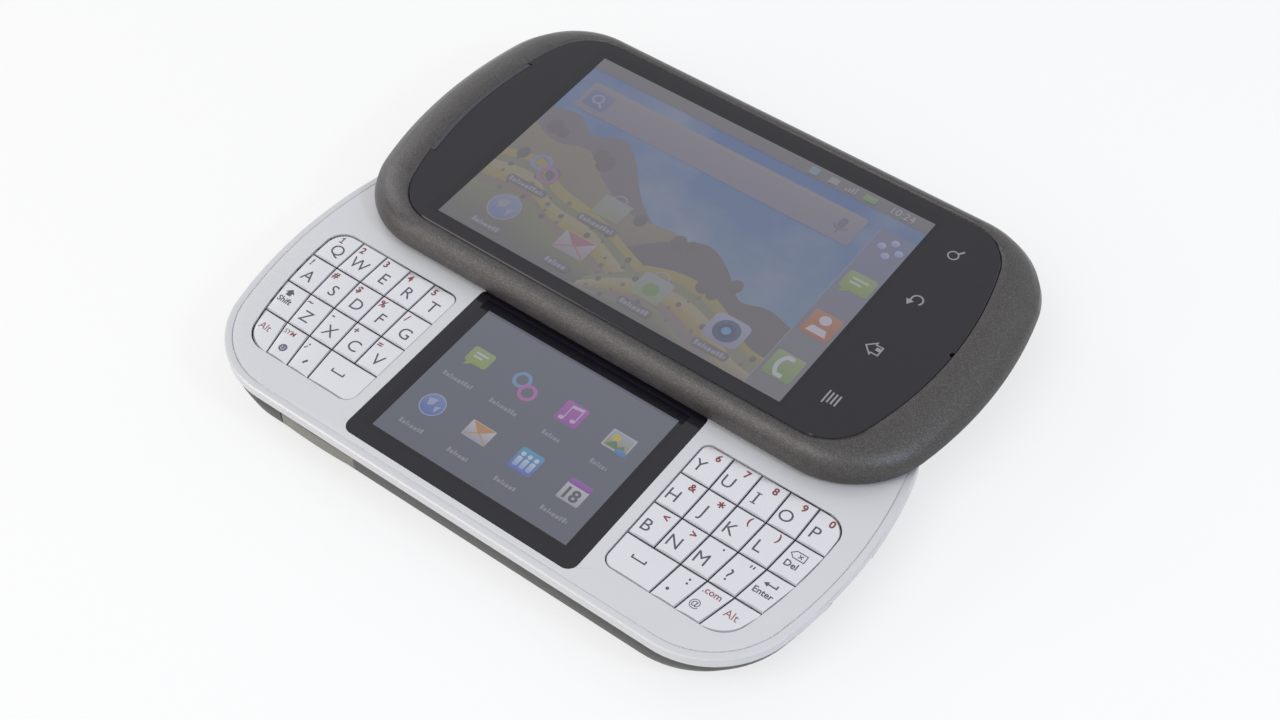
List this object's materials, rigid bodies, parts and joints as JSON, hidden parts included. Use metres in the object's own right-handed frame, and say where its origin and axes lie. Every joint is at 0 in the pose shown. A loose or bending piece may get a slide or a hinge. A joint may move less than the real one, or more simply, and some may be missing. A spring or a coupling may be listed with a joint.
{
  "type": "slider phone",
  "caption": "Side-sliding phone: a flat base with a split keyboard around a small second display, under a thin upper half with a large touch display.",
  "frame": {"origin": "centre of the base's flat back face, with the upper half slid open", "axes": "+Z out of the displays, +X along the base towards the touch keys, +Y the way the upper half opens"},
  "size_m": [0.1206, 0.1029, 0.0163],
  "materials": {
    "housing": "dark warm grey soft-touch moulding",
    "bezel": "dark warm grey satin moulding",
    "silver": "satin silver paint on a moulding",
    "key": "pale silver, slightly glossy, printed legends",
    "side_key": "grey satin moulding",
    "cover_glass": "clear, black printed border beneath",
    "display": "display panel",
    "sheet": "grey-blue silicone sheet",
    "board": "green solder resist",
    "battery": "wrapped cell",
    "socket": "black moulding",
    "camera": "black barrel with a lens window",
    "speaker": "black sound box",
    "steel": "folded spring steel",
    "screw": "plated machine screws",
    "mesh": "fine woven mesh"
  },
  "bodies": {
    "base": {"lower_housing": "housing", "battery_cover": "housing", "keypad_fascia": "silver", "second_glass": "cover_glass", "second_lcd": "display", "keypad_sheets": "sheet", "main_board": "board", "battery": "battery", "headset_socket": "socket", "camera_module": "camera", "loudspeaker": "speaker", "slide_carriage": "steel", "base_screws": "screw"},
    "upper": {"upper_bezel": "bezel", "upper_back": "housing", "main_glass": "cover_glass", "main_lcd": "display", "earpiece_mesh": "mesh", "slide_channel": "steel"},
    "key_t": {"key_t": "key"},
    "key_r": {"key_r": "key"},
    "key_e": {"key_e": "key"},
    "key_w": {"key_w": "key"},
    "key_q": {"key_q": "key"},
    "key_g": {"key_g": "key"},
    "key_f": {"key_f": "key"},
    "key_d": {"key_d": "key"},
    "key_s": {"key_s": "key"},
    "key_a": {"key_a": "key"},
    "key_v": {"key_v": "key"},
    "key_c": {"key_c": "key"},
    "key_x": {"key_x": "key"},
    "key_z": {"key_z": "key"},
    "key_shift": {"key_shift": "key"},
    "key_space_left": {"key_space_left": "key"},
    "key_comma": {"key_comma": "key"},
    "key_sym": {"key_sym": "key"},
    "key_alt_left": {"key_alt_left": "key"},
    "key_y": {"key_y": "key"},
    "key_u": {"key_u": "key"},
    "key_i": {"key_i": "key"},
    "key_o": {"key_o": "key"},
    "key_p": {"key_p": "key"},
    "key_h": {"key_h": "key"},
    "key_j": {"key_j": "key"},
    "key_k": {"key_k": "key"},
    "key_l": {"key_l": "key"},
    "key_del": {"key_del": "key"},
    "key_b": {"key_b": "key"},
    "key_n": {"key_n": "key"},
    "key_m": {"key_m": "key"},
    "key_question": {"key_question": "key"},
    "key_enter": {"key_enter": "key"},
    "key_space_right": {"key_space_right": "key"},
    "key_period": {"key_period": "key"},
    "key_at": {"key_at": "key"},
    "key_alt_right": {"key_alt_right": "key"},
    "volume_rocker": {"volume_rocker": "side_key"},
    "power_key": {"power_key": "side_key"},
    "camera_key": {"camera_key": "side_key"}
  },
  "joints": [
    {"name": "main_slide", "type": "slide", "parent": "base", "child": "upper", "axis": [0, 1, 0], "range_m": [-0.0394, 0]},
    {"name": "volume_rocker_tilt", "type": "hinge", "parent": "base", "child": "volume_rocker", "pos_m": [-0.0282, -0.0296, 0.0059], "axis": [0, 0, 1], "range_deg": [-1.5, 1.5], "stiffness_Nm_per_rad": 0.6},
    {"name": "power_key_press", "type": "slide", "parent": "base", "child": "power_key", "axis": [1, 0, 0], "range_m": [0, 0.0004], "stiffness_N_per_m": 4000},
    {"name": "camera_key_press", "type": "slide", "parent": "base", "child": "camera_key", "axis": [0, -1, 0], "range_m": [0, 0.0004], "stiffness_N_per_m": 4000},
    {"name": "key_t_press", "type": "slide", "parent": "base", "child": "key_t", "axis": [0, 0, 1], "range_m": [-0.00025, 0], "stiffness_N_per_m": 4000},
    {"name": "key_r_press", "type": "slide", "parent": "base", "child": "key_r", "axis": [0, 0, 1], "range_m": [-0.00025, 0], "stiffness_N_per_m": 4000},
    {"name": "key_e_press", "type": "slide", "parent": "base", "child": "key_e", "axis": [0, 0, 1], "range_m": [-0.00025, 0], "stiffness_N_per_m": 4000},
    {"name": "key_w_press", "type": "slide", "parent": "base", "child": "key_w", "axis": [0, 0, 1], "range_m": [-0.00025, 0], "stiffness_N_per_m": 4000},
    {"name": "key_q_press", "type": "slide", "parent": "base", "child": "key_q", "axis": [0, 0, 1], "range_m": [-0.00025, 0], "stiffness_N_per_m": 4000},
    {"name": "key_g_press", "type": "slide", "parent": "base", "child": "key_g", "axis": [0, 0, 1], "range_m": [-0.00025, 0], "stiffness_N_per_m": 4000},
    {"name": "key_f_press", "type": "slide", "parent": "base", "child": "key_f", "axis": [0, 0, 1], "range_m": [-0.00025, 0], "stiffness_N_per_m": 4000},
    {"name": "key_d_press", "type": "slide", "parent": "base", "child": "key_d", "axis": [0, 0, 1], "range_m": [-0.00025, 0], "stiffness_N_per_m": 4000},
    {"name": "key_s_press", "type": "slide", "parent": "base", "child": "key_s", "axis": [0, 0, 1], "range_m": [-0.00025, 0], "stiffness_N_per_m": 4000},
    {"name": "key_a_press", "type": "slide", "parent": "base", "child": "key_a", "axis": [0, 0, 1], "range_m": [-0.00025, 0], "stiffness_N_per_m": 4000},
    {"name": "key_v_press", "type": "slide", "parent": "base", "child": "key_v", "axis": [0, 0, 1], "range_m": [-0.00025, 0], "stiffness_N_per_m": 4000},
    {"name": "key_c_press", "type": "slide", "parent": "base", "child": "key_c", "axis": [0, 0, 1], "range_m": [-0.00025, 0], "stiffness_N_per_m": 4000},
    {"name": "key_x_press", "type": "slide", "parent": "base", "child": "key_x", "axis": [0, 0, 1], "range_m": [-0.00025, 0], "stiffness_N_per_m": 4000},
    {"name": "key_z_press", "type": "slide", "parent": "base", "child": "key_z", "axis": [0, 0, 1], "range_m": [-0.00025, 0], "stiffness_N_per_m": 4000},
    {"name": "key_shift_press", "type": "slide", "parent": "base", "child": "key_shift", "axis": [0, 0, 1], "range_m": [-0.00025, 0], "stiffness_N_per_m": 4000},
    {"name": "key_space_left_press", "type": "slide", "parent": "base", "child": "key_space_left", "axis": [0, 0, 1], "range_m": [-0.00025, 0], "stiffness_N_per_m": 4000},
    {"name": "key_comma_press", "type": "slide", "parent": "base", "child": "key_comma", "axis": [0, 0, 1], "range_m": [-0.00025, 0], "stiffness_N_per_m": 4000},
    {"name": "key_sym_press", "type": "slide", "parent": "base", "child": "key_sym", "axis": [0, 0, 1], "range_m": [-0.00025, 0], "stiffness_N_per_m": 4000},
    {"name": "key_alt_left_press", "type": "slide", "parent": "base", "child": "key_alt_left", "axis": [0, 0, 1], "range_m": [-0.00025, 0], "stiffness_N_per_m": 4000},
    {"name": "key_y_press", "type": "slide", "parent": "base", "child": "key_y", "axis": [0, 0, 1], "range_m": [-0.00025, 0], "stiffness_N_per_m": 4000},
    {"name": "key_u_press", "type": "slide", "parent": "base", "child": "key_u", "axis": [0, 0, 1], "range_m": [-0.00025, 0], "stiffness_N_per_m": 4000},
    {"name": "key_i_press", "type": "slide", "parent": "base", "child": "key_i", "axis": [0, 0, 1], "range_m": [-0.00025, 0], "stiffness_N_per_m": 4000},
    {"name": "key_o_press", "type": "slide", "parent": "base", "child": "key_o", "axis": [0, 0, 1], "range_m": [-0.00025, 0], "stiffness_N_per_m": 4000},
    {"name": "key_p_press", "type": "slide", "parent": "base", "child": "key_p", "axis": [0, 0, 1], "range_m": [-0.00025, 0], "stiffness_N_per_m": 4000},
    {"name": "key_h_press", "type": "slide", "parent": "base", "child": "key_h", "axis": [0, 0, 1], "range_m": [-0.00025, 0], "stiffness_N_per_m": 4000},
    {"name": "key_j_press", "type": "slide", "parent": "base", "child": "key_j", "axis": [0, 0, 1], "range_m": [-0.00025, 0], "stiffness_N_per_m": 4000},
    {"name": "key_k_press", "type": "slide", "parent": "base", "child": "key_k", "axis": [0, 0, 1], "range_m": [-0.00025, 0], "stiffness_N_per_m": 4000},
    {"name": "key_l_press", "type": "slide", "parent": "base", "child": "key_l", "axis": [0, 0, 1], "range_m": [-0.00025, 0], "stiffness_N_per_m": 4000},
    {"name": "key_del_press", "type": "slide", "parent": "base", "child": "key_del", "axis": [0, 0, 1], "range_m": [-0.00025, 0], "stiffness_N_per_m": 4000},
    {"name": "key_b_press", "type": "slide", "parent": "base", "child": "key_b", "axis": [0, 0, 1], "range_m": [-0.00025, 0], "stiffness_N_per_m": 4000},
    {"name": "key_n_press", "type": "slide", "parent": "base", "child": "key_n", "axis": [0, 0, 1], "range_m": [-0.00025, 0], "stiffness_N_per_m": 4000},
    {"name": "key_m_press", "type": "slide", "parent": "base", "child": "key_m", "axis": [0, 0, 1], "range_m": [-0.00025, 0], "stiffness_N_per_m": 4000},
    {"name": "key_question_press", "type": "slide", "parent": "base", "child": "key_question", "axis": [0, 0, 1], "range_m": [-0.00025, 0], "stiffness_N_per_m": 4000},
    {"name": "key_enter_press", "type": "slide", "parent": "base", "child": "key_enter", "axis": [0, 0, 1], "range_m": [-0.00025, 0], "stiffness_N_per_m": 4000},
    {"name": "key_space_right_press", "type": "slide", "parent": "base", "child": "key_space_right", "axis": [0, 0, 1], "range_m": [-0.00025, 0], "stiffness_N_per_m": 4000},
    {"name": "key_period_press", "type": "slide", "parent": "base", "child": "key_period", "axis": [0, 0, 1], "range_m": [-0.00025, 0], "stiffness_N_per_m": 4000},
    {"name": "key_at_press", "type": "slide", "parent": "base", "child": "key_at", "axis": [0, 0, 1], "range_m": [-0.00025, 0], "stiffness_N_per_m": 4000},
    {"name": "key_alt_right_press", "type": "slide", "parent": "base", "child": "key_alt_right", "axis": [0, 0, 1], "range_m": [-0.00025, 0], "stiffness_N_per_m": 4000}
  ]
}
